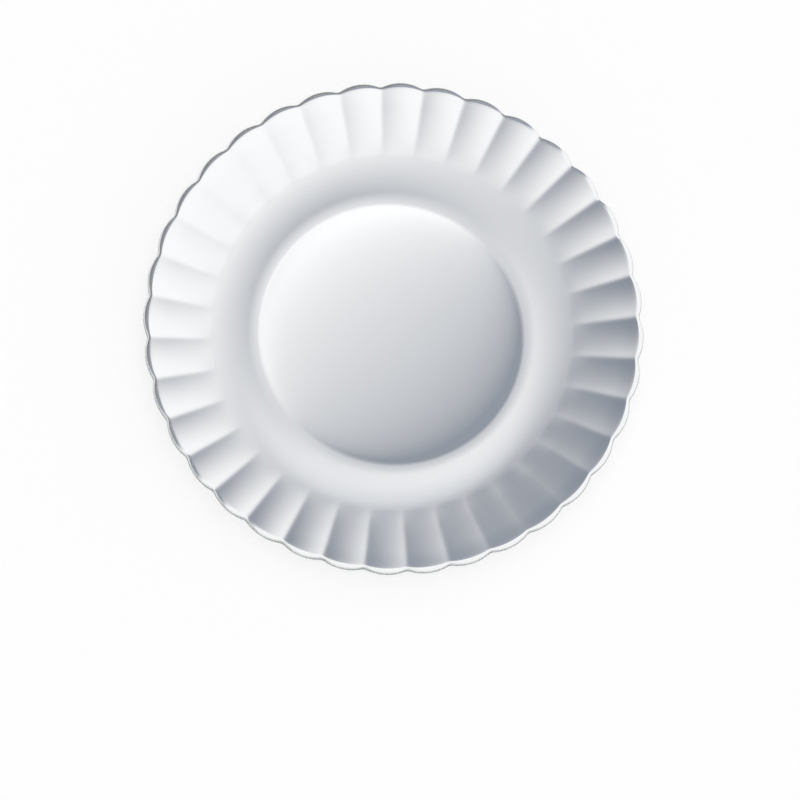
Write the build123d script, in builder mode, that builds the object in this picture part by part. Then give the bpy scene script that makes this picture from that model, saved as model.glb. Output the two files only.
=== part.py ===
"""Scalloped dessert plate: one pressing of clear glass with a fluted wall and a foot ring.

Millimetres, +Z up. The origin is the centre of the circle that the foot ring rests on.
"""

import math
import os

from build123d import *

# Overall size, over the crests of the scallops
plate_diameter = 190.0
plate_height = 16.6

# Well, and the wall that rises from it
well_height = 3.55
wall_root_radius = 62.3
cove_radius = 38.1
rim_thickness = 3.1

# Foot ring with its curved flank, and the shallow dome of the underside within it
foot_inner_radius = 50.0
foot_land_width = 1.0
foot_setback = 1.9
dome_height = 1.4
dome_shoulder_radius = 43.7

# Flutes: each is a low arch that deepens along the wall and ends in one scallop of the edge
flute_count = 36
flute_setout = 5.7
flute_lead = 3.0
flute_depth = 0.5
flute_trim = 0.3
scallop_depth = 1.4

# Edge: a well-rounded lip, an upright face, and a small bevel under it that follows most of each scallop
lip_round = 1.55
bevel_width = 0.6
bevel_angle = 45.0
bevel_draw = 0.8

# Room that the flute cutter and the blank take beyond the finished glass
edge_overlap = 0.4
blank_margin = 1.0
cutter_reach = 5.0

rim_radius = plate_diameter / 2
foot_corner_radius = wall_root_radius - foot_setback
flute_start_radius = wall_root_radius + flute_setout
half_pitch = 360 / flute_count / 2
blank_radius = rim_radius + blank_margin
bevel_rise = math.tan(math.radians(bevel_angle))

# The lip's rounding takes half its radius off the corner that the wall and the edge would make
lip_height = plate_height + lip_round / 2
wall_rise = (lip_height + flute_trim - well_height) / (rim_radius - wall_root_radius)
under_rise = (plate_height - rim_thickness) / (rim_radius - foot_corner_radius)

# The flank curves from the outside of the foot's land to the wall
flank_run = foot_corner_radius - foot_inner_radius - foot_land_width
flank_radius = flank_run / math.tan(math.atan(under_rise) / 2)


def wall_top(radius):
    """Height of the plain wall's upper face, before the flutes are cut."""
    return well_height + (radius - wall_root_radius) * wall_rise


def wall_bottom(radius):
    """Height of the wall's lower face."""
    return (radius - foot_corner_radius) * under_rise


flute_rise = (lip_height - wall_top(flute_start_radius)) / (rim_radius - flute_start_radius)


def flute_crest(radius):
    """Height of the line along the top of a flute."""
    return lip_height - (rim_radius - radius) * flute_rise


def flute_section(turn, depth, inset):
    """Outline the space above and beyond the glass in one radial plane through a flute."""
    edge_radius = rim_radius - inset
    tuck_radius = rim_radius - bevel_width - inset * bevel_draw
    lead_radius = flute_start_radius - flute_lead
    start = (flute_start_radius, flute_crest(flute_start_radius))
    lip = (edge_radius, flute_crest(edge_radius) - depth)
    slope = (lip[1] - start[1]) / (lip[0] - start[0])
    lead = (lead_radius, start[1] - flute_lead * slope)
    under = (edge_radius, wall_bottom(tuck_radius) + (edge_radius - tuck_radius) * bevel_rise)
    tuck = (tuck_radius - edge_overlap, wall_bottom(tuck_radius) - edge_overlap * bevel_rise)
    outside = rim_radius + cutter_reach
    above = plate_height + cutter_reach
    with BuildSketch(Plane.XZ.rotated((0, 0, turn))) as section:
        with BuildLine():
            Polyline(
                lead, lip, under, tuck, (outside, tuck[1]), (outside, above), (lead_radius, above), close=True
            )
        make_face()
        fillet(section.vertices().sort_by_distance(lip)[0], lip_round)
    return section.sketch


# The space above one flute, from valley to crest to valley
with BuildPart() as flute_cutter:
    loft(
        [
            flute_section(-half_pitch, flute_depth, scallop_depth),
            flute_section(0, 0, 0),
            flute_section(half_pitch, flute_depth, scallop_depth),
        ]
    )

with BuildPart() as plate:
    with BuildSketch(Plane.XZ) as plate_section:
        with BuildLine():
            Bezier((0, dome_height), (dome_shoulder_radius, dome_height), (foot_inner_radius, 0))
            Polyline(
                (foot_inner_radius, 0),
                (foot_corner_radius, 0),
                (blank_radius, wall_bottom(blank_radius)),
                (blank_radius, wall_top(blank_radius)),
                (wall_root_radius, well_height),
                (0, well_height),
                (0, dome_height),
            )
        make_face()
        fillet(plate_section.vertices().sort_by_distance((wall_root_radius, well_height))[0], cove_radius)
        fillet(plate_section.vertices().sort_by_distance((foot_corner_radius, 0))[0], flank_radius)
    revolve(axis=Axis.Z)
    with PolarLocations(0, flute_count):
        add(flute_cutter.part, mode=Mode.SUBTRACT)

os.makedirs("parts", exist_ok=True)
plate.part.label = "plate"
export_step(plate.part, "parts/plate.step")
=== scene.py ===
"""Clear pressed-glass dessert plate with a fluted wall and a scalloped edge.

Metres, +Z up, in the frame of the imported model. A profile line is swept round the plate's axis by
Geometry Nodes, which draw the wall down between the flutes and the edge in between the scallops.
"""

import math

import bpy
from bpy.props import FloatProperty, FloatVectorProperty, IntProperty, PointerProperty
from bpy.types import Operator, Panel, PropertyGroup
from mathutils import Matrix, Vector


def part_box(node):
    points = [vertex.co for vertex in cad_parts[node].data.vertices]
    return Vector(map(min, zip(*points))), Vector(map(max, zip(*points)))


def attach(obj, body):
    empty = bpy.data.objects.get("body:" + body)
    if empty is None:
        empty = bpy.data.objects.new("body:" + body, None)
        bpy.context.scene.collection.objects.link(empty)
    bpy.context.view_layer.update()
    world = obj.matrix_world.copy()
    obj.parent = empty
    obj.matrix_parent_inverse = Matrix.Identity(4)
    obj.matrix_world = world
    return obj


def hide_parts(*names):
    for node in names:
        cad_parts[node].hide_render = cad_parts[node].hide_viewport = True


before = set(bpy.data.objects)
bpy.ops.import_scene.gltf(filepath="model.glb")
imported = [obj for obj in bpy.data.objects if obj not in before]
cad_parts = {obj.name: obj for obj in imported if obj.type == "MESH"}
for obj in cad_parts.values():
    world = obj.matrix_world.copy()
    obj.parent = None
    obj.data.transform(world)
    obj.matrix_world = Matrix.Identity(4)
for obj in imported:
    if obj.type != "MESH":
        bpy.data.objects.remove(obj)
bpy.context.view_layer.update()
plate_low, plate_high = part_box("plate")

bl_info = {
    "name": "Scalloped Dessert Plate",
    "version": (1, 0, 0),
    "blender": (4, 5, 0),
    "location": "3D View > Sidebar > Plate",
    "description": "Builds a clear pressed-glass dessert plate and the studio that it stands in",
    "category": "Object",
}

# Lengths of the mesh's steps along the profile, on its straight stretches and round its arcs
WELL_STEP = 0.006
COVE_STEP = 0.0008
WALL_STEP = 0.0015
CURL_STEP = 0.001
BRIM_STEP = 0.0012
LIP_STEP = 0.00015
EDGE_STEP = 0.001
BEVEL_STEP = 0.0001
FLANK_STEP = 0.0009
LAND_STEP = 0.001

# Fewest steps round an arc, steps along the dome and across one flute, and the reach of the weld
ARC_STEPS = 3
DOME_STEPS = 16
FLUTE_STEPS = 20
WELD_REACH = 5e-7

# Patterns in the glass: detail of its ripples, and scale, detail and range of its thinner polish
RIPPLE_DETAIL = 1.0
WEAR_SCALE = 120.0
WEAR_DETAIL = 4.0
WEAR_START = 0.45
WEAR_FULL = 0.75

# Mottle of the floor: its scale and range, and the roughness that it runs between
MOTTLE_SCALE = 40.0
MOTTLE_START = 0.3
MOTTLE_FULL = 0.7
MATT_LOW = 0.85
MATT_HIGH = 0.95

# Room: the ceiling's darkest grey, and where walls turn to ceiling and far ground turns to walls, as the
# sine of the angle above the horizon
CEILING_DARKEST = 0.05
CEILING_START = 0.0
CEILING_FULL = 0.3
GROUND_FULL = -0.25
GROUND_END = -0.05

# Backdrop: places of its full deep shade and of its full plain shade, in widths of its blend
DEEP_FULL = -5
SHADE_FULL = -2

# Bounces of light that the glass needs, and sides of the round floor
BOUNCES = 48
FLOOR_SIDES = 96

# Rim of the plate in the photograph's square frame: its radius and its place from the middle, in pixels
PHOTO_WIDTH = 800
PHOTO_RIM_RADIUS = 251.2
PHOTO_RIM_LEFT = 5.8
PHOTO_RIM_ABOVE = 73.4

# Height of that rim above the table
RIM_LEVEL = 0.0162


class PlateSizes(PropertyGroup):
    """Sizes of the plate."""

    diameter: FloatProperty(
        name="Diameter", description="Across the crests of two opposite scallops",
        default=plate_high.x - plate_low.x, unit="LENGTH",
    )
    height: FloatProperty(
        name="Height", description="From the foot to the top of the scallops",
        default=plate_high.z - plate_low.z, unit="LENGTH",
    )
    well_height: FloatProperty(
        name="Well Height", description="Height of the flat well", default=0.00355, unit="LENGTH",
    )
    wall_root_radius: FloatProperty(
        name="Wall Root Radius", description="Where the wall would meet the well without its cove",
        default=0.0623, unit="LENGTH",
    )
    cove_radius: FloatProperty(
        name="Cove Radius", description="Radius of the curve between well and wall",
        default=0.0381, unit="LENGTH",
    )
    curl_start: FloatProperty(
        name="Curl Start", description="Radius from which the wall curls up a little towards its edge",
        default=0.088, unit="LENGTH",
    )
    curl_drop: FloatProperty(
        name="Curl Drop", description="How far the wall lies below a straight line at that radius",
        default=0.00008, unit="LENGTH",
    )
    curl_radius: FloatProperty(
        name="Curl Radius", description="Radius of that curl", default=0.3, unit="LENGTH",
    )
    rim_thickness: FloatProperty(
        name="Rim Thickness", description="Height of the edge under a crest, without its bevel",
        default=0.0031, unit="LENGTH",
    )
    lip_round: FloatProperty(
        name="Lip Rounding", description="Fire-polished rounding of the edge's upper corner",
        default=0.00155, unit="LENGTH",
    )
    bevel_width: FloatProperty(
        name="Bevel Width", description="Width of the bevel under the edge at a crest",
        default=0.0006, unit="LENGTH",
    )
    bevel_angle: FloatProperty(
        name="Bevel Angle", description="Slope of that bevel",
        default=math.radians(45.0), subtype="ANGLE",
    )
    bevel_round: FloatProperty(
        name="Bevel Rounding", description="Rounding of the bevel's two corners",
        default=0.0003, unit="LENGTH",
    )
    foot_corner_radius: FloatProperty(
        name="Foot Corner Radius", description="Where the wall's lower face would meet the table",
        default=0.0604, unit="LENGTH",
    )
    foot_land_width: FloatProperty(
        name="Foot Land Width", description="Width of the flat that the plate stands on",
        default=0.001, unit="LENGTH",
    )
    foot_inner_radius: FloatProperty(
        name="Foot Inner Radius", description="Inside of that flat", default=0.05, unit="LENGTH",
    )
    dome_height: FloatProperty(
        name="Dome Height", description="Height of the underside at the centre",
        default=0.0014, unit="LENGTH",
    )
    dome_shoulder_radius: FloatProperty(
        name="Dome Shoulder Radius", description="Where the underside's dome turns down towards the foot",
        default=0.0437, unit="LENGTH",
    )
    flute_count: IntProperty(
        name="Flutes", description="Number of flutes and scallops", default=36, min=3,
    )
    flute_start: FloatProperty(
        name="Flute Start", description="Radius at which the flutes begin", default=0.068, unit="LENGTH",
    )
    flute_run_in: FloatProperty(
        name="Flute Run-in", description="Length over which a flute first sinks in",
        default=0.008, unit="LENGTH",
    )
    flute_kick: FloatProperty(
        name="Flute Kick", description="Share of the depth that the run-in adds to the even fall",
        default=0.15, subtype="FACTOR", min=0.0, max=1.0,
    )
    flute_depth: FloatProperty(
        name="Flute Depth", description="Fall from a crest to a sharp valley at the edge",
        default=0.00053, unit="LENGTH",
    )
    scallop_start: FloatProperty(
        name="Scallop Start", description="Radius from which the valleys draw the edge in",
        default=0.091, unit="LENGTH",
    )
    scallop_depth: FloatProperty(
        name="Scallop Depth", description="How far the edge would be drawn in at a sharp valley",
        default=0.00165, unit="LENGTH",
    )
    scallop_below: FloatProperty(
        name="Scallop Below",
        description="Share of that depth by which the bevel's lower corner is drawn in",
        default=0.8, subtype="FACTOR", min=0.0, max=1.0,
    )
    valley_round: FloatProperty(
        name="Valley Rounding", description="Share of half a flute that is rounded at its valley",
        default=0.13, subtype="FACTOR", min=0.0, max=1.0,
    )


class GlassLook(PropertyGroup):
    """Finish of the glass."""

    tint: FloatVectorProperty(
        name="Tint", description="Colour of the glass's surface", subtype="COLOR", size=4,
        default=(0.998, 1.0, 1.0, 1.0), min=0.0, max=1.0,
    )
    depth_colour: FloatVectorProperty(
        name="Depth Colour", description="Colour that long paths through the glass turn to",
        subtype="COLOR", size=4, default=(0.60, 0.65, 0.64, 1.0), min=0.0, max=1.0,
    )
    depth_density: FloatProperty(
        name="Depth Density", description="Strength of the depth colour, per metre", default=18.0,
    )
    ior: FloatProperty(name="IOR", description="Refractive index", default=1.52)
    ripple_scale: FloatProperty(
        name="Ripple Scale", description="Ripples per metre left by the mould", default=55.0,
    )
    ripple_height: FloatProperty(
        name="Ripple Height", description="Height of those ripples", default=0.00002, unit="LENGTH",
    )
    polish: FloatProperty(
        name="Polish Loss", description="Roughness where the polish is thinnest",
        default=0.03, subtype="FACTOR", min=0.0, max=1.0,
    )


class StudioLook(PropertyGroup):
    """Floor, light and camera."""

    floor_colour: FloatVectorProperty(
        name="Floor Colour", description="Colour of the floor", subtype="COLOR", size=4,
        default=(0.93, 0.93, 0.93, 1.0), min=0.0, max=1.0,
    )
    backdrop_shade: FloatVectorProperty(
        name="Backdrop Shade", description="Shaded side of the backdrop under the plate",
        subtype="COLOR", size=4, default=(0.258, 0.286, 0.338, 1.0), min=0.0, max=1.0,
    )
    backdrop_deep: FloatVectorProperty(
        name="Backdrop Deep", description="Deeper shade further out on the shaded side",
        subtype="COLOR", size=4, default=(0.20, 0.205, 0.215, 1.0), min=0.0, max=1.0,
    )
    backdrop_light: FloatVectorProperty(
        name="Backdrop Light", description="Light side of that backdrop",
        subtype="COLOR", size=4, default=(0.985, 0.988, 0.998, 1.0), min=0.0, max=1.0,
    )
    backdrop_side: FloatProperty(
        name="Backdrop Side", description="Direction of the backdrop's light side, from +X",
        default=math.radians(135.0), subtype="ANGLE",
    )
    backdrop_blend: FloatProperty(
        name="Backdrop Blend",
        description="Angle from the middle of the backdrop to its full shade or light",
        default=math.radians(3.65), subtype="ANGLE",
    )
    backdrop_reach: FloatProperty(
        name="Backdrop Reach", description="Angle from the line of sight at which the far ground begins",
        default=math.radians(40.0), subtype="ANGLE",
    )
    backdrop_fade: FloatProperty(
        name="Backdrop Fade", description="Further angle over which the backdrop turns to far ground",
        default=math.radians(15.0), subtype="ANGLE",
    )
    far_ground: FloatVectorProperty(
        name="Far Ground", description="Pale ground round the backdrop, nearly up to the horizon",
        subtype="COLOR", size=4, default=(0.84, 0.85, 0.86, 1.0), min=0.0, max=1.0,
    )
    surround: FloatVectorProperty(
        name="Surround", description="White of the studio's walls and of the floor's glow",
        subtype="COLOR", size=4, default=(1.0, 1.0, 1.0, 1.0), min=0.0, max=1.0,
    )
    ceiling_level: FloatProperty(
        name="Ceiling Level", description="Brightness of the ceiling straight above", default=0.58,
    )
    ceiling_slope: FloatProperty(
        name="Ceiling Slope",
        description="How much the ceiling darkens towards the backdrop's light side",
        default=0.7,
    )
    panel_level: FloatProperty(
        name="Panel Level", description="Brightness of the soft light panel in the ceiling", default=2.1,
    )
    panel_side: FloatProperty(
        name="Panel Side", description="Direction of that panel, from +X",
        default=math.radians(84.0), subtype="ANGLE",
    )
    panel_lift: FloatProperty(
        name="Panel Lift", description="Height of the panel's middle above the horizon",
        default=math.radians(55.5), subtype="ANGLE",
    )
    panel_reach: FloatProperty(
        name="Panel Reach", description="Angle from the panel's middle to the end of its soft border",
        default=math.radians(25.0), subtype="ANGLE",
    )
    lamp_strength: FloatProperty(
        name="Lamp Strength", description="Strength of the soft lamp overhead", default=0.95,
    )
    lamp_spread: FloatProperty(
        name="Lamp Spread", description="Width of that lamp as the plate sees it",
        default=math.radians(40.0), subtype="ANGLE",
    )
    floor_glow: FloatProperty(
        name="Floor Glow",
        description="Share of the floor that is seen as plain white, so that the shadow on it stays faint",
        default=0.75, subtype="FACTOR", min=0.0, max=1.0,
    )
    floor_radius: FloatProperty(
        name="Floor Radius", description="Radius of the round floor", default=6.0, unit="LENGTH",
    )
    camera_elevation: FloatProperty(
        name="Camera Elevation", description="Angle of the camera above the horizon",
        default=math.radians(78.28), subtype="ANGLE",
    )
    camera_azimuth: FloatProperty(
        name="Camera Azimuth", description="Side that the camera leans to, from the front",
        default=math.radians(-19.0), subtype="ANGLE",
    )
    camera_roll: FloatProperty(
        name="Camera Roll", description="Turn of the picture, so that the scallops stand as photographed",
        default=math.radians(1.83), subtype="ANGLE",
    )
    camera_distance: FloatProperty(
        name="Camera Distance", description="From the camera to the plate", default=3.0, unit="LENGTH",
    )


def add_node(tree, kind, **settings):
    """Add one node to a tree and set its options."""
    node = tree.nodes.new(kind)
    for name, value in settings.items():
        setattr(node, name, value)
    return node


def feed(tree, socket, value):
    """Link a socket to an output, or set it to a plain value."""
    if isinstance(value, bpy.types.NodeSocket):
        tree.links.new(value, socket)
    else:
        socket.default_value = value


def calc(tree, operation, *values, clamp=False):
    """Add one Math node and return its result."""
    node = add_node(tree, "ShaderNodeMath", operation=operation, use_clamp=clamp)
    for socket, value in zip(node.inputs, values):
        feed(tree, socket, value)
    return node.outputs[0]


def ease(tree, value, start, end, low=0.0, high=1.0):
    """Rise smoothly from low to high while the value goes from start to end."""
    node = add_node(tree, "ShaderNodeMapRange", interpolation_type="SMOOTHSTEP")
    names = ("Value", "From Min", "From Max", "To Min", "To Max")
    for name, setting in zip(names, (value, start, end, low, high)):
        feed(tree, node.inputs[name], setting)
    return node.outputs["Result"]


def run_to(points, target, step):
    """Carry a line on to a target in even steps."""
    start = points[-1]
    count = max(1, math.ceil((target - start).length / step))
    points.extend(start.lerp(target, index / count) for index in range(1, count + 1))


def round_corner(before, corner, after, radius, step):
    """Return the arc that rounds a corner between two straight legs."""
    into = (before - corner).normalized()
    out = (after - corner).normalized()
    half = into.angle(out) / 2
    reach = radius / math.tan(half)
    centre = corner + (into + out).normalized() * (radius / math.sin(half))
    first = corner + into * reach - centre
    last = corner + out * reach - centre
    sweep = first.angle(last)
    count = max(ARC_STEPS, math.ceil(radius * sweep / step))
    arc = []
    for index in range(count + 1):
        share = index / count
        spoke = first * math.sin((1 - share) * sweep) + last * math.sin(share * sweep)
        arc.append(centre + spoke / math.sin(sweep))
    return arc


def trace(corners):
    """Trace a line through corners.

    Each corner holds its point, its rounding, the step round that arc and the step of the leg up to it.
    """
    points = [corners[0][0]]
    for before, (corner, radius, fine, step), after in zip(corners, corners[1:], corners[2:]):
        arc = round_corner(before[0], corner, after[0], radius, fine)
        run_to(points, arc[0], step)
        points.extend(arc[1:])
    run_to(points, corners[-1][0], corners[-1][3])
    return points


def wall_lines(sizes):
    """Return the height at which the wall would meet the edge, and the slopes of the wall's two faces."""
    rim = sizes.diameter / 2
    lip_height = sizes.height + sizes.lip_round / 2
    upper_rise = (lip_height - sizes.well_height) / (rim - sizes.wall_root_radius)
    lower_rise = (sizes.height - sizes.rim_thickness) / (rim - sizes.foot_corner_radius)
    return lip_height, upper_rise, lower_rise


def plate_profile(sizes):
    """Return the profile through a crest, from the well's centre round the edge to the underside's."""
    rim = sizes.diameter / 2
    lip_height, upper_rise, lower_rise = wall_lines(sizes)
    curl_height = lip_height - (rim - sizes.curl_start) * upper_rise - sizes.curl_drop
    bevel_radius = rim - sizes.bevel_width
    bevel_low = (bevel_radius - sizes.foot_corner_radius) * lower_rise
    bevel_high = bevel_low + sizes.bevel_width * math.tan(sizes.bevel_angle)
    land = sizes.foot_inner_radius + sizes.foot_land_width
    flank = (sizes.foot_corner_radius - land) / math.tan(math.atan(lower_rise) / 2)
    corners = [
        (Vector((0, sizes.well_height)), 0, 0, 0),
        (Vector((sizes.wall_root_radius, sizes.well_height)), sizes.cove_radius, COVE_STEP, WELL_STEP),
        (Vector((sizes.curl_start, curl_height)), sizes.curl_radius, CURL_STEP, WALL_STEP),
        (Vector((rim, lip_height)), sizes.lip_round, LIP_STEP, BRIM_STEP),
        (Vector((rim, bevel_high)), sizes.bevel_round, BEVEL_STEP, EDGE_STEP),
        (Vector((bevel_radius, bevel_low)), sizes.bevel_round, BEVEL_STEP, EDGE_STEP),
        (Vector((sizes.foot_corner_radius, 0)), flank, FLANK_STEP, WALL_STEP),
        (Vector((sizes.foot_inner_radius, 0)), 0, 0, LAND_STEP),
    ]
    points = trace(corners)

    # The dome is a quadratic curve from the foot to the axis
    for index in range(1, DOME_STEPS + 1):
        share = index / DOME_STEPS
        rest = 1 - share
        radius = sizes.foot_inner_radius * rest ** 2 + sizes.dome_shoulder_radius * 2 * share * rest
        points.append(Vector((radius, sizes.dome_height * (1 - rest ** 2))))
    return points


def profile_mesh(sizes):
    """Make the profile a line of points, each with its shares of the flutes' and the scallops' depth."""
    points = plate_profile(sizes)
    rim = sizes.diameter / 2
    lip_height, upper_rise, lower_rise = wall_lines(sizes)
    bevel_gain = sizes.bevel_width * (math.tan(sizes.bevel_angle) - lower_rise)
    upper = []
    edge = []
    for point in points:
        floor = (point.x - sizes.foot_corner_radius) * lower_rise
        roof = lip_height - (rim - point.x) * upper_rise
        upper.append(min(1.0, max(0.0, (point.y - floor) / (roof - floor))))
        edge.append(min(1.0, max(0.0, (point.y - floor) / bevel_gain)))
    mesh = bpy.data.meshes.new("plate profile")
    places = [(point.x, 0, point.y) for point in points]
    links = [(index, index + 1) for index in range(len(points) - 1)]
    mesh.from_pydata(places, links, [])
    for name, shares in (("upper", upper), ("edge", edge)):
        mesh.attributes.new(name, "FLOAT", "POINT").data.foreach_set("value", shares)
    return mesh


def sample_share(tree, name, profile, row):
    """Read one of the profile's shares at a row of the grid."""
    stored = add_node(tree, "GeometryNodeInputNamedAttribute", data_type="FLOAT")
    stored.inputs["Name"].default_value = name
    sample = add_node(tree, "GeometryNodeSampleIndex", data_type="FLOAT", domain="POINT")
    feed(tree, sample.inputs["Geometry"], profile)
    feed(tree, sample.inputs["Value"], stored.outputs[0])
    feed(tree, sample.inputs["Index"], row)
    return sample.outputs[0]


def plate_tree():
    """Geometry Nodes that sweep the profile round the axis and press the flutes into it."""
    tree = bpy.data.node_groups.new("pressed plate", "GeometryNodeTree")
    tree.interface.new_socket("Geometry", in_out="OUTPUT", socket_type="NodeSocketGeometry")
    inputs = {
        "Geometry": ("Profile",),
        "Int": ("Flutes", "Steps per Flute"),
        "Float": (
            "Flute Start", "Flute Run-in", "Flute Kick", "Flute Depth", "Scallop Start", "Lip Radius",
            "Scallop Depth", "Scallop Below", "Valley Rounding", "Wall Rise",
        ),
        "Material": ("Glass",),
    }
    for kind, names in inputs.items():
        for name in names:
            tree.interface.new_socket(name, in_out="INPUT", socket_type=f"NodeSocket{kind}")
    given = add_node(tree, "NodeGroupInput").outputs
    rows = add_node(tree, "GeometryNodeAttributeDomainSize", component="MESH")
    feed(tree, rows.inputs["Geometry"], given["Profile"])
    last_row = calc(tree, "SUBTRACT", rows.outputs["Point Count"], 1)
    grid = add_node(tree, "GeometryNodeMeshGrid")
    feed(tree, grid.inputs["Vertices X"], rows.outputs["Point Count"])
    feed(tree, grid.inputs["Vertices Y"],
         calc(tree, "MULTIPLY_ADD", given["Flutes"], given["Steps per Flute"], 1))

    # Place on the profile, and place round the axis, from a grid that spans -0.5 to 0.5
    place = add_node(tree, "ShaderNodeSeparateXYZ")
    here = add_node(tree, "GeometryNodeInputPosition").outputs[0]
    feed(tree, place.inputs[0], here)
    profile_share = calc(tree, "ADD", place.outputs["X"], 0.5)
    row = calc(tree, "ROUND", calc(tree, "MULTIPLY", profile_share, last_row))
    turn = calc(tree, "MULTIPLY_ADD", calc(tree, "ADD", place.outputs["Y"], 0.5), given["Flutes"], 0.5)
    spot = add_node(tree, "GeometryNodeSampleIndex", data_type="FLOAT_VECTOR", domain="POINT")
    feed(tree, spot.inputs["Geometry"], given["Profile"])
    feed(tree, spot.inputs["Value"], here)
    feed(tree, spot.inputs["Index"], row)
    section = add_node(tree, "ShaderNodeSeparateXYZ")
    feed(tree, section.inputs[0], spot.outputs[0])
    radius = section.outputs["X"]
    upper, edge = (sample_share(tree, name, given["Profile"], row) for name in ("upper", "edge"))

    # Across one flute from -1 to 1, with the columns drawn together at the valleys
    even = calc(tree, "MULTIPLY_ADD", calc(tree, "FRACT", turn), 2, -1)
    bend = calc(tree, "MULTIPLY_ADD", calc(tree, "MULTIPLY", even, even), -0.5, 1.5)
    across = calc(tree, "MULTIPLY", even, bend)
    pitch = calc(tree, "DIVIDE", math.tau, given["Flutes"])
    flutes_passed = calc(tree, "MULTIPLY_ADD", across, 0.5, calc(tree, "FLOOR", turn))
    angle = calc(tree, "MULTIPLY", flutes_passed, pitch)

    # Fall from the crest, rounded in the last stretch before the valley
    away = calc(tree, "ABSOLUTE", across)
    beyond = calc(tree, "ADD", calc(tree, "SUBTRACT", away, 1), given["Valley Rounding"])
    late = calc(tree, "MAXIMUM", beyond, 0)
    fillet = calc(tree, "DIVIDE", calc(tree, "MULTIPLY", late, late), given["Valley Rounding"])
    fall = calc(tree, "SUBTRACT", calc(tree, "MULTIPLY", away, away), fillet)
    settled = calc(tree, "ADD", given["Flute Start"], given["Flute Run-in"])
    kick = calc(tree, "MULTIPLY", ease(tree, radius, given["Flute Start"], settled), given["Flute Kick"])
    along = calc(tree, "DIVIDE", calc(tree, "SUBTRACT", radius, given["Flute Start"]),
                 calc(tree, "SUBTRACT", given["Lip Radius"], given["Flute Start"]), clamp=True)
    even_fall = calc(tree, "MULTIPLY", along, calc(tree, "SUBTRACT", 1, given["Flute Kick"]))
    depth = calc(tree, "MULTIPLY", calc(tree, "ADD", kick, even_fall), given["Flute Depth"])
    inset = calc(tree, "MULTIPLY", ease(tree, radius, given["Scallop Start"], given["Lip Radius"]),
                 given["Scallop Depth"])
    below = given["Scallop Below"]
    drawn = calc(tree, "MULTIPLY_ADD", edge, calc(tree, "SUBTRACT", 1, below), below)
    draw_in = calc(tree, "MULTIPLY", calc(tree, "MULTIPLY", inset, fall), drawn)
    reach = calc(tree, "SUBTRACT", radius, draw_in)
    sink = calc(tree, "MULTIPLY", calc(tree, "MULTIPLY", depth, upper), fall)
    follow = calc(tree, "MULTIPLY_ADD", draw_in, given["Wall Rise"], sink)
    point = add_node(tree, "ShaderNodeCombineXYZ")
    feed(tree, point.inputs["X"], calc(tree, "MULTIPLY", reach, calc(tree, "COSINE", angle)))
    feed(tree, point.inputs["Y"], calc(tree, "MULTIPLY", reach, calc(tree, "SINE", angle)))
    feed(tree, point.inputs["Z"], calc(tree, "SUBTRACT", section.outputs["Z"], follow))

    # One closed smooth shell of glass
    shape = add_node(tree, "GeometryNodeSetPosition")
    feed(tree, shape.inputs["Geometry"], grid.outputs["Mesh"])
    feed(tree, shape.inputs["Position"], point.outputs[0])
    weld = add_node(tree, "GeometryNodeMergeByDistance")
    feed(tree, weld.inputs["Geometry"], shape.outputs[0])
    feed(tree, weld.inputs["Distance"], WELD_REACH)
    smooth = add_node(tree, "GeometryNodeSetShadeSmooth")
    feed(tree, smooth.inputs["Geometry"], weld.outputs[0])
    real = add_node(tree, "GeometryNodeRealizeInstances")
    feed(tree, real.inputs["Geometry"], smooth.outputs[0])
    dress = add_node(tree, "GeometryNodeSetMaterial")
    feed(tree, dress.inputs["Geometry"], real.outputs[0])
    feed(tree, dress.inputs["Material"], given["Glass"])
    feed(tree, add_node(tree, "NodeGroupOutput").inputs["Geometry"], dress.outputs[0])
    return tree


def glass_material(look):
    """Clear pressed glass: faint mould ripples, a polish that varies a little, and a grey-green depth."""
    material = bpy.data.materials.new("clear pressed glass")
    material.use_nodes = True
    tree = material.node_tree
    tree.nodes.clear()
    place = add_node(tree, "ShaderNodeTexCoord").outputs["Object"]

    ripple = add_node(tree, "ShaderNodeTexNoise")
    feed(tree, ripple.inputs["Vector"], place)
    feed(tree, ripple.inputs["Scale"], look.ripple_scale)
    feed(tree, ripple.inputs["Detail"], RIPPLE_DETAIL)
    bump = add_node(tree, "ShaderNodeBump")
    feed(tree, bump.inputs["Height"], ripple.outputs[0])
    feed(tree, bump.inputs["Distance"], look.ripple_height)

    wear = add_node(tree, "ShaderNodeTexNoise")
    feed(tree, wear.inputs["Vector"], place)
    feed(tree, wear.inputs["Scale"], WEAR_SCALE)
    feed(tree, wear.inputs["Detail"], WEAR_DETAIL)

    glass = add_node(tree, "ShaderNodeBsdfPrincipled")
    feed(tree, glass.inputs["Base Color"], look.tint)
    feed(tree, glass.inputs["Transmission Weight"], 1.0)
    feed(tree, glass.inputs["IOR"], look.ior)
    polish = ease(tree, wear.outputs[0], WEAR_START, WEAR_FULL, 0.0, look.polish)
    feed(tree, glass.inputs["Roughness"], polish)
    feed(tree, glass.inputs["Normal"], bump.outputs[0])
    depth = add_node(tree, "ShaderNodeVolumeAbsorption")
    feed(tree, depth.inputs["Color"], look.depth_colour)
    feed(tree, depth.inputs["Density"], look.depth_density)
    output = add_node(tree, "ShaderNodeOutputMaterial")
    feed(tree, output.inputs["Surface"], glass.outputs[0])
    feed(tree, output.inputs["Volume"], depth.outputs[0])
    return material


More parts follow.
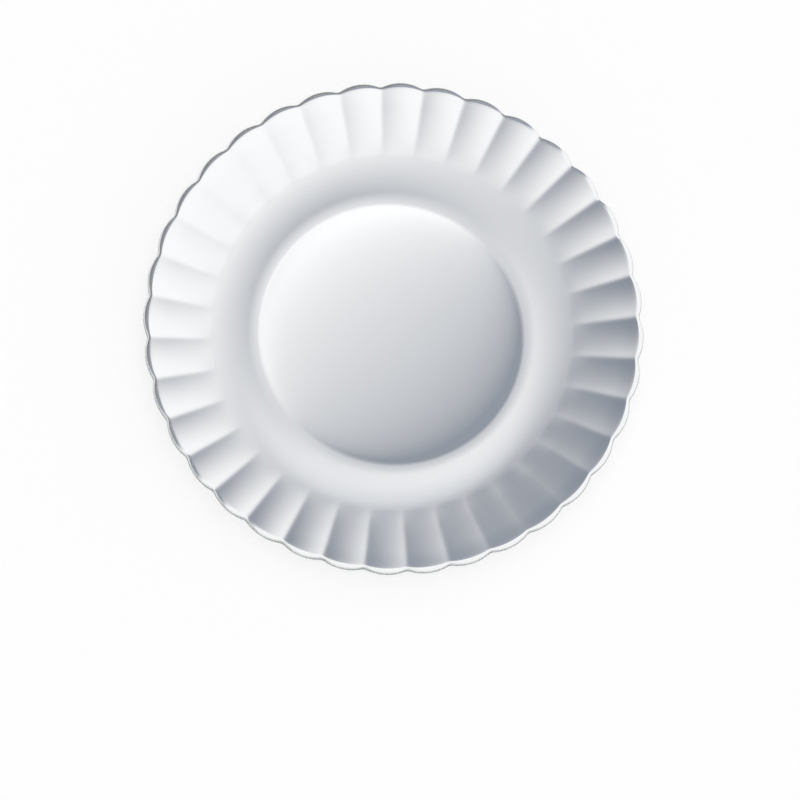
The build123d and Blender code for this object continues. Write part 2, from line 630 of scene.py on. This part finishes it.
class OBJECT_OT_pressed_plate(Operator):
    """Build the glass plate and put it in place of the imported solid"""

    bl_idname = "object.pressed_plate"
    bl_label = "Build Plate"

    def execute(self, context):
        sizes = context.scene.plate_sizes
        mesh = profile_mesh(sizes)
        plate = bpy.data.objects.new("pressed_plate", mesh)
        context.scene.collection.objects.link(plate)
        press = plate.modifiers.new("press", "NODES")
        press.node_group = plate_tree()
        values = {
            "Flutes": sizes.flute_count,
            "Steps per Flute": FLUTE_STEPS,
            "Flute Start": sizes.flute_start,
            "Flute Run-in": sizes.flute_run_in,
            "Flute Kick": sizes.flute_kick,
            "Flute Depth": sizes.flute_depth,
            "Scallop Start": sizes.scallop_start,
            "Lip Radius": sizes.diameter / 2,
            "Scallop Depth": sizes.scallop_depth,
            "Scallop Below": sizes.scallop_below,
            "Valley Rounding": sizes.valley_round,
            "Wall Rise": wall_lines(sizes)[1],
            "Glass": glass_material(context.scene.plate_glass),
        }
        for item in press.node_group.interface.items_tree:
            if item.name in values:
                press[item.identifier] = values[item.name]
        context.view_layer.update()
        evaluated = plate.evaluated_get(context.evaluated_depsgraph_get())
        pressed = bpy.data.meshes.new_from_object(evaluated)
        plate.modifiers.clear()
        plate.data = pressed
        pressed.name = "pressed_plate"
        bpy.data.meshes.remove(mesh)
        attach(plate, "root")
        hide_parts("plate")
        return {"FINISHED"}


def floor_material(look):
    """Matt white studio board with a faint mottle."""
    material = bpy.data.materials.new("matt studio floor")
    material.use_nodes = True
    tree = material.node_tree
    board = tree.nodes["Principled BSDF"]
    mottle = add_node(tree, "ShaderNodeTexNoise")
    feed(tree, mottle.inputs["Vector"], add_node(tree, "ShaderNodeTexCoord").outputs["Object"])
    feed(tree, mottle.inputs["Scale"], MOTTLE_SCALE)
    feed(tree, board.inputs["Base Color"], look.floor_colour)
    feed(tree, board.inputs["Specular IOR Level"], 0.0)
    roughness = ease(tree, mottle.outputs[0], MOTTLE_START, MOTTLE_FULL, MATT_LOW, MATT_HIGH)
    feed(tree, board.inputs["Roughness"], roughness)

    # White to the eye and in reflections, and still a board that the plate shades
    ray = add_node(tree, "ShaderNodeLightPath").outputs
    seen = calc(tree, "ADD", ray["Is Camera Ray"], ray["Is Glossy Ray"], clamp=True)
    white = add_node(tree, "ShaderNodeEmission")
    feed(tree, white.inputs["Color"], look.surround)
    mix = add_node(tree, "ShaderNodeMixShader")
    feed(tree, mix.inputs[0], calc(tree, "MULTIPLY", seen, look.floor_glow))
    feed(tree, mix.inputs[1], board.outputs[0])
    feed(tree, mix.inputs[2], white.outputs[0])
    feed(tree, tree.nodes["Material Output"].inputs["Surface"], mix.outputs[0])
    return material


def blend_colour(tree, share, first, second):
    """Mix two colours."""
    node = add_node(tree, "ShaderNodeMix", data_type="RGBA")
    for name, value in (("Factor_Float", share), ("A_Color", first), ("B_Color", second)):
        feed(tree, next(socket for socket in node.inputs if socket.identifier == name), value)
    return next(socket for socket in node.outputs if socket.identifier == "Result_Color")


def camera_axes(look):
    """Return the directions to the camera's right, to its top and back from the plate to it."""
    side, lift, roll = look.camera_azimuth, look.camera_elevation, look.camera_roll
    back = Vector((math.sin(side) * math.cos(lift), -math.cos(side) * math.cos(lift), math.sin(lift)))
    right = Vector((-math.sin(roll), math.cos(roll), 0)).cross(back).normalized()
    return right, back.cross(right), back


def share_along(tree, way, direction):
    """Return how far a unit vector goes along a direction."""
    node = add_node(tree, "ShaderNodeVectorMath", operation="DOT_PRODUCT")
    feed(tree, node.inputs[0], way)
    feed(tree, node.inputs[1], direction)
    return node.outputs["Value"]


def studio_world(look):
    """White room with a shaded ceiling and a light panel, over a backdrop of half shade and half light."""
    world = bpy.data.worlds.new("soft studio")
    world.use_nodes = True
    tree = world.node_tree
    tree.nodes.clear()
    way = add_node(tree, "ShaderNodeTexCoord").outputs["Generated"]
    height = share_along(tree, way, (0, 0, 1))
    side = Vector((math.cos(look.backdrop_side), math.sin(look.backdrop_side), 0))
    sight = -camera_axes(look)[2]
    toward = share_along(tree, way, side)

    # Ceiling above the white walls
    sloped = calc(tree, "MULTIPLY_ADD", toward, -look.ceiling_slope, look.ceiling_level)
    grey = calc(tree, "MAXIMUM", sloped, CEILING_DARKEST)
    room = blend_colour(tree, ease(tree, height, CEILING_START, CEILING_FULL), look.surround, grey)

    # Soft light panel in that ceiling
    side_share = math.cos(look.panel_lift)
    panel_way = (
        side_share * math.cos(look.panel_side),
        side_share * math.sin(look.panel_side),
        math.sin(look.panel_lift),
    )
    panel = ease(tree, share_along(tree, way, panel_way), math.cos(look.panel_reach), 1.0)
    room = blend_colour(tree, panel, room, (look.panel_level, look.panel_level, look.panel_level, 1.0))

    # Backdrop under the plate, straight down the line of sight, with pale ground round it
    blend = math.sin(look.backdrop_blend)
    tilt = calc(tree, "SUBTRACT", toward, sight.dot(side))
    shallow = ease(tree, tilt, DEEP_FULL * blend, SHADE_FULL * blend)
    shade = blend_colour(tree, shallow, look.backdrop_deep, look.backdrop_shade)
    board = blend_colour(tree, ease(tree, tilt, -blend, blend), shade, look.backdrop_light)
    outer = math.cos(look.backdrop_reach + look.backdrop_fade)
    inner = math.cos(look.backdrop_reach)
    far = blend_colour(tree, ease(tree, height, GROUND_FULL, GROUND_END), look.far_ground, look.surround)
    below = blend_colour(tree, ease(tree, share_along(tree, way, sight), outer, inner), far, board)
    light = add_node(tree, "ShaderNodeBackground")
    above = calc(tree, "GREATER_THAN", height, 0.0)
    feed(tree, light.inputs["Color"], blend_colour(tree, above, below, room))
    feed(tree, add_node(tree, "ShaderNodeOutputWorld").inputs["Surface"], light.outputs[0])
    return world


def aim_camera(scene, look):
    """Face the plate as the photograph does, with the plate above the middle of a square frame."""
    camera = bpy.data.cameras.new("camera")
    viewer = bpy.data.objects.new("camera", camera)
    scene.collection.objects.link(viewer)
    scene.camera = viewer
    right, up, back = camera_axes(look)
    pixels_per_metre = PHOTO_RIM_RADIUS / (scene.plate_sizes.diameter / 2)
    camera.lens = pixels_per_metre * look.camera_distance * camera.sensor_width / PHOTO_WIDTH
    rim = Vector((0, 0, RIM_LEVEL))
    aim = rim + right * (PHOTO_RIM_LEFT / pixels_per_metre) - up * (PHOTO_RIM_ABOVE / pixels_per_metre)
    viewer.matrix_world = Matrix((right, up, back)).transposed().to_4x4()
    viewer.location = aim + back * look.camera_distance
    camera.clip_start = 0.01
    camera.clip_end = 100


class SCENE_OT_plate_studio(Operator):
    """Lay the floor and set the light and the camera"""

    bl_idname = "scene.plate_studio"
    bl_label = "Set Up Studio"

    def execute(self, context):
        scene = context.scene
        look = scene.plate_studio
        scene.view_settings.view_transform = "Standard"
        scene.cycles.max_bounces = BOUNCES
        scene.cycles.glossy_bounces = BOUNCES
        scene.cycles.transmission_bounces = BOUNCES
        scene.world = studio_world(look)
        bpy.ops.mesh.primitive_circle_add(vertices=FLOOR_SIDES, radius=look.floor_radius, fill_type="NGON")
        floor = context.object
        floor.name = "studio_floor"
        floor.data.materials.append(floor_material(look))

        # Through the glass, the backdrop is seen in the floor's place
        floor.visible_transmission = False

        # The lamp lights the floor and the plate, and isn't seen in the glass
        lamp = bpy.data.objects.new("overhead_lamp", bpy.data.lights.new("overhead_lamp", "SUN"))
        lamp.data.energy = look.lamp_strength
        lamp.data.angle = look.lamp_spread
        lamp.visible_glossy = False
        lamp.visible_transmission = False
        scene.collection.objects.link(lamp)
        aim_camera(scene, look)
        return {"FINISHED"}


class VIEW3D_PT_dessert_plate(Panel):
    """Sizes, finish and studio of the plate"""

    bl_label = "Dessert Plate"
    bl_space_type = "VIEW_3D"
    bl_region_type = "UI"
    bl_category = "Plate"

    def draw(self, context):
        layout = self.layout
        for group in (context.scene.plate_sizes, context.scene.plate_glass, context.scene.plate_studio):
            box = layout.box()
            for name in group.__annotations__:
                box.prop(group, name)
        layout.operator(OBJECT_OT_pressed_plate.bl_idname)
        layout.operator(SCENE_OT_plate_studio.bl_idname)


classes = (
    PlateSizes,
    GlassLook,
    StudioLook,
    OBJECT_OT_pressed_plate,
    SCENE_OT_plate_studio,
    VIEW3D_PT_dessert_plate,
)


def register():
    for item in classes:
        bpy.utils.register_class(item)
    bpy.types.Scene.plate_sizes = PointerProperty(type=PlateSizes)
    bpy.types.Scene.plate_glass = PointerProperty(type=GlassLook)
    bpy.types.Scene.plate_studio = PointerProperty(type=StudioLook)


def unregister():
    del bpy.types.Scene.plate_studio
    del bpy.types.Scene.plate_glass
    del bpy.types.Scene.plate_sizes
    for item in reversed(classes):
        bpy.utils.unregister_class(item)


def main():
    register()
    bpy.ops.object.pressed_plate()
    bpy.ops.scene.plate_studio()


if __name__ == "__main__":
    main()
